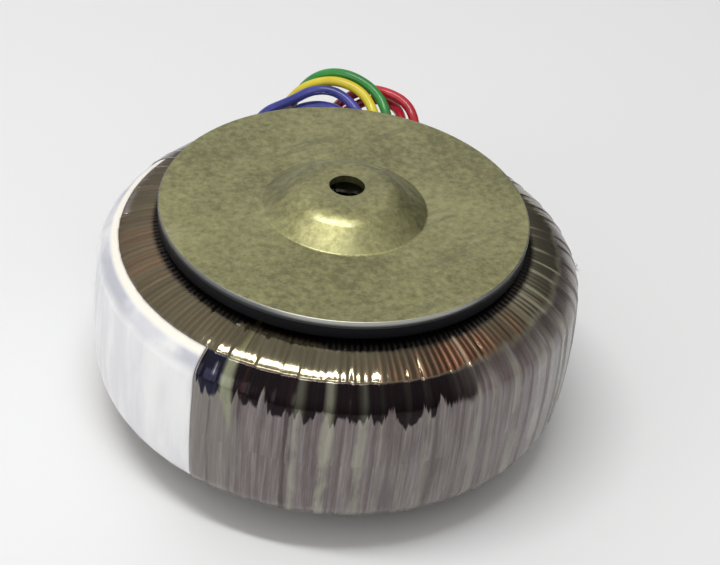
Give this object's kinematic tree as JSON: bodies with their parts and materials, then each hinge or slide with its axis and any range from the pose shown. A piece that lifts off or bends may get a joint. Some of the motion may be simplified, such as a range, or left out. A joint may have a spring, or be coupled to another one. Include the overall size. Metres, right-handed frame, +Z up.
{
  "type": "toroidal transformer",
  "caption": "Film-wrapped toroidal mains transformer with a dished steel mounting plate, rubber pads and flying leads.",
  "frame": {"origin": "centre of the lower rubber pad's underside, on the core's axis", "axes": "+Z up along the core's axis and the mounting hole; +Y towards the leads"},
  "size_m": [0.1229, 0.1664, 0.0612],
  "materials": {
    "silicon_steel": "bare edge of tape-wound strip",
    "polyester_film": "translucent yellowish film",
    "enamelled_wire_fine": "enamelled copper",
    "enamelled_wire": "thick enamelled copper turns",
    "label_paper": "plain white paper, unprinted",
    "clear_film": "glossy clear overlapping tape",
    "neoprene": "smooth black sheet",
    "plated_steel": "dull yellow-passivated zinc",
    "red_insulation": "smooth flexible insulation",
    "green_insulation": "smooth flexible insulation",
    "yellow_insulation": "smooth flexible insulation",
    "blue_insulation": "smooth flexible insulation",
    "tinned_copper": "twisted and tinned strands",
    "sleeve_plastic": "heat-shrunk sleeve"
  },
  "bodies": {
    "root": {"core": "silicon_steel", "core_wrap": "polyester_film", "primary_winding": "enamelled_wire_fine", "inner_film": "polyester_film", "secondary_winding_left": "enamelled_wire", "secondary_winding_right": "enamelled_wire", "label": "label_paper", "outer_film": "clear_film", "lower_pad": "neoprene", "upper_pad": "neoprene", "mounting_plate": "plated_steel", "lead_red_1": "red_insulation", "tinned_end_red_1": "tinned_copper", "splice_sleeve_red_1": "sleeve_plastic", "lead_red_2": "red_insulation", "tinned_end_red_2": "tinned_copper", "splice_sleeve_red_2": "sleeve_plastic", "lead_green": "green_insulation", "tinned_end_green": "tinned_copper", "splice_sleeve_green": "sleeve_plastic", "lead_yellow": "yellow_insulation", "tinned_end_yellow": "tinned_copper", "splice_sleeve_yellow": "sleeve_plastic", "lead_blue_1": "blue_insulation", "tinned_end_blue_1": "tinned_copper", "splice_sleeve_blue_1": "sleeve_plastic", "lead_blue_2": "blue_insulation", "tinned_end_blue_2": "tinned_copper", "splice_sleeve_blue_2": "sleeve_plastic"}
  },
  "joints": []
}
